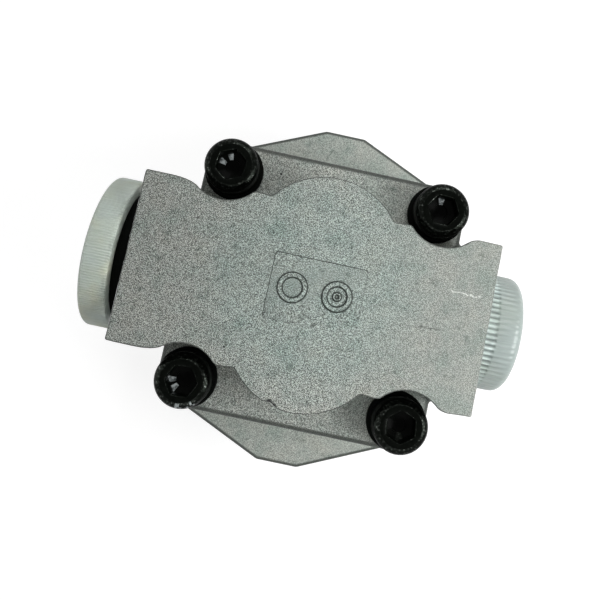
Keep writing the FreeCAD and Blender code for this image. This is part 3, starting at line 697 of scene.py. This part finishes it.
def moulded_plastic(name, tints, grip_radius, groove_depth, groove_shade, crest_highlight, zone_end):
    """The plastic of a plug: cloudy, with fine drag lines along the axis, painted shade between its ribs
    and painted highlight on their crests.

    The painted shade and highlight lie only between the case and zone_end, its distance from the pump's middle along X.
    """
    plastic = Finish(name)
    tint = plastic.ramp(plastic.noise(11, detail=2), list(zip((0.35, 0.5, 0.65), tints)))
    drag = plastic.ramp(plastic.noise(0.5, detail=3, stretch=(0.06, 1, 1)),
                        [(0.3, (0.93, 0.93, 0.93)), (0.5, (1, 1, 1)), (0.7, (1.08, 1.08, 1.08))])
    flat = plastic.nodes.new("ShaderNodeVectorMath")
    flat.operation = "MULTIPLY_ADD"
    flat.inputs[1].default_value = (0, 1, 1)
    flat.inputs[2].default_value = (0, 0, -port_height)
    plastic.links.new(plastic.place, flat.inputs[0])
    reach = plastic.nodes.new("ShaderNodeVectorMath")
    reach.operation = "LENGTH"
    plastic.links.new(flat.outputs[0], reach.inputs[0])
    # Painted shade in the rib grooves and painted highlight on the crests, by distance from the plug's axis.
    rib_shade_and_highlight = plastic.spread(reach.outputs["Value"], grip_radius - groove_depth, grip_radius - 0.3 * groove_depth,
                           groove_shade, crest_highlight)
    patchy = plastic.spread(plastic.noise(2.6, detail=1), 0.4, 0.6, 0.85, 1.1)
    rib_shade_and_highlight = plastic.maths("MULTIPLY", rib_shade_and_highlight, patchy)
    far = plastic.maths("ABSOLUTE", plastic.along("X"), 0)
    plain_zone = plastic.spread(far, zone_end - 0.8 * mm, zone_end, 0, 1)
    rib_shade_and_highlight = plastic.blend("MIX", plain_zone, rib_shade_and_highlight, (1, 1, 1))
    colour = plastic.blend("MULTIPLY", 1.0, plastic.blend("MULTIPLY", 1.0, tint, drag), rib_shade_and_highlight)
    plastic.feed(colour, "Base Color")
    plastic.value("Roughness", 0.3)
    plastic.value("Subsurface Weight", 0.4)
    plastic.value("Subsurface Radius", (1.0, 1.1, 1.0))
    plastic.value("Subsurface Scale", 0.0015)
    return plastic


def port_plug(node, side, seal, grip_radius, neck_radius, ribs, rib_depth, faint, rim, pitch, longer):
    """A screw plug on a port, as a mesh in its place; rim is the rounding of its outer edge.

    The ribs are rib_depth deep next to the case and the share faint of it further out. The grip
    ends by the length longer beyond the CAD plug, where the photograph shows its end.
    """
    low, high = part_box(node)
    port_x = case_high.x if side > 0 else case_low.x
    outer = max(side * high.x, side * low.x) - side * port_x + longer
    neck_end = min(side * high.x, side * low.x) - side * port_x
    centre_z = (low.z + high.z) / 2
    dish = grip_radius - 5 * mm
    dish_floor = outer - 1.2 * mm
    root = neck_radius - 0.85 * mm
    core = neck_radius - 2.6 * mm

    def ribbed(radius, share, turn):
        return radius - rib_depth * share * (0.5 - 0.5 * math.cos(ribs * turn)) ** 0.8

    section = [(0, dish_floor + 0.5 * mm, 0), (1.3 * mm, dish_floor + 0.5 * mm, 0), (1.6 * mm, dish_floor, 0),
               (dish - 1.0 * mm, dish_floor, 0), (dish - 0.7 * mm, dish_floor + 0.15 * mm, 0),
               (dish, outer - 0.1 * mm, 0), (dish + 0.3 * mm, outer, 0)]
    for step in range(7):
        turn = math.radians(15 * step)
        section.append((grip_radius - rim + rim * math.sin(turn), outer - rim + rim * math.cos(turn), faint * step / 6))
    deep_from = seal + 3.4 * mm
    section += [(grip_radius, deep_from + 0.4 * mm, faint), (grip_radius, deep_from, 1.0),
                (grip_radius, seal + 0.7 * mm, 1.0), (grip_radius - 0.2 * mm, seal + 0.2 * mm, 0.8),
                (grip_radius - 0.6 * mm, seal, 0), (root, seal, 0), (root, neck_end + 1.2 * mm, 0),
                (root - 0.8 * mm, neck_end, 0), (core, neck_end, 0), (core, dish_floor - 3 * mm, 0),
                (0, dish_floor - 3 * mm, 0)]
    plug = bmesh.new()
    lathe(plug, section, ribs * 6, ribbed)
    thread(plug, root, neck_radius - 0.05 * mm, pitch, neck_end + 0.6 * mm, -0.5 * mm, 72)
    plug.transform(Matrix.Translation((port_x, 0, centre_z)) @ Matrix.Rotation(side * math.pi / 2, 4, "Y"))
    bmesh.ops.recalc_face_normals(plug, faces=plug.faces)
    mesh = bpy.data.meshes.new(node + "_moulding")
    plug.to_mesh(mesh)
    plug.free()
    shade(mesh, 50)
    return mesh


def seal_ring(node, side, bore):
    """A rubber ring with rounded edges between a port face and its plug."""
    low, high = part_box(node)
    port_x = case_high.x if side > 0 else case_low.x
    thick = high.x - low.x - 0.03 * mm
    radius = (high.z - low.z) / 2
    soft = min(0.6 * mm, thick / 3)
    band = bmesh.new()
    ring_band(band, Vector(), [(bore, 0), (radius - soft, 0), (radius, soft), (radius, thick - soft),
                               (radius - soft, thick), (bore, thick)], 96)
    place = Matrix.Translation((port_x, 0, (low.z + high.z) / 2))
    band.transform(place @ Matrix.Rotation(side * math.pi / 2, 4, "Y"))
    bmesh.ops.recalc_face_normals(band, faces=band.faces)
    mesh = bpy.data.meshes.new(node + "_rubber")
    band.to_mesh(mesh)
    band.free()
    shade(mesh, 60)
    return mesh


inlet_tints = (0.54, 0.57, 0.46), (0.50, 0.56, 0.49), (0.49, 0.555, 0.51)
inlet_plastic = moulded_plastic("inlet_plastic", inlet_tints, 23.4 * mm, 0.5 * mm, 0.7, 1,
                                -case_low.x + 4 * mm + 1.6 * mm)
inlet_mesh = port_plug("inlet_plug", -1, 4 * mm, 23.4 * mm, 15.05 * mm, 180, 0.22 * mm, 0.6, 1.2 * mm,
                       2.309 * mm, -0.9 * mm)
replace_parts(piece("inlet_moulding", inlet_mesh, "inlet_plug_body", "plug_plastic", inlet_plastic), "inlet_plug")
outlet_tints = (0.38, 0.44, 0.405), (0.385, 0.445, 0.42), (0.39, 0.455, 0.435)
outlet_plastic = moulded_plastic("outlet_plastic", outlet_tints, 17.9 * mm, 0.75 * mm, 0.62, 1.5,
                                 case_high.x + 1.2 * mm + 3.6 * mm)
outlet_mesh = port_plug("outlet_plug", 1, 1.2 * mm, 17.9 * mm, 11.95 * mm, 66, 0.75 * mm, 0.2, 3.2 * mm,
                        1.814 * mm, 1.3 * mm)
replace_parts(piece("outlet_moulding", outlet_mesh, "outlet_plug_body", "plug_plastic", outlet_plastic), "outlet_plug")
inlet_rubber = seal_ring("inlet_plug_seal", -1, 15.25 * mm)
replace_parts(piece("inlet_rubber", inlet_rubber, "inlet_ring", "black_rubber", rubber), "inlet_plug_seal")
outlet_rubber = seal_ring("outlet_plug_seal", 1, 12.15 * mm)
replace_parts(piece("outlet_rubber", outlet_rubber, "outlet_ring", "black_rubber", rubber), "outlet_plug_seal")
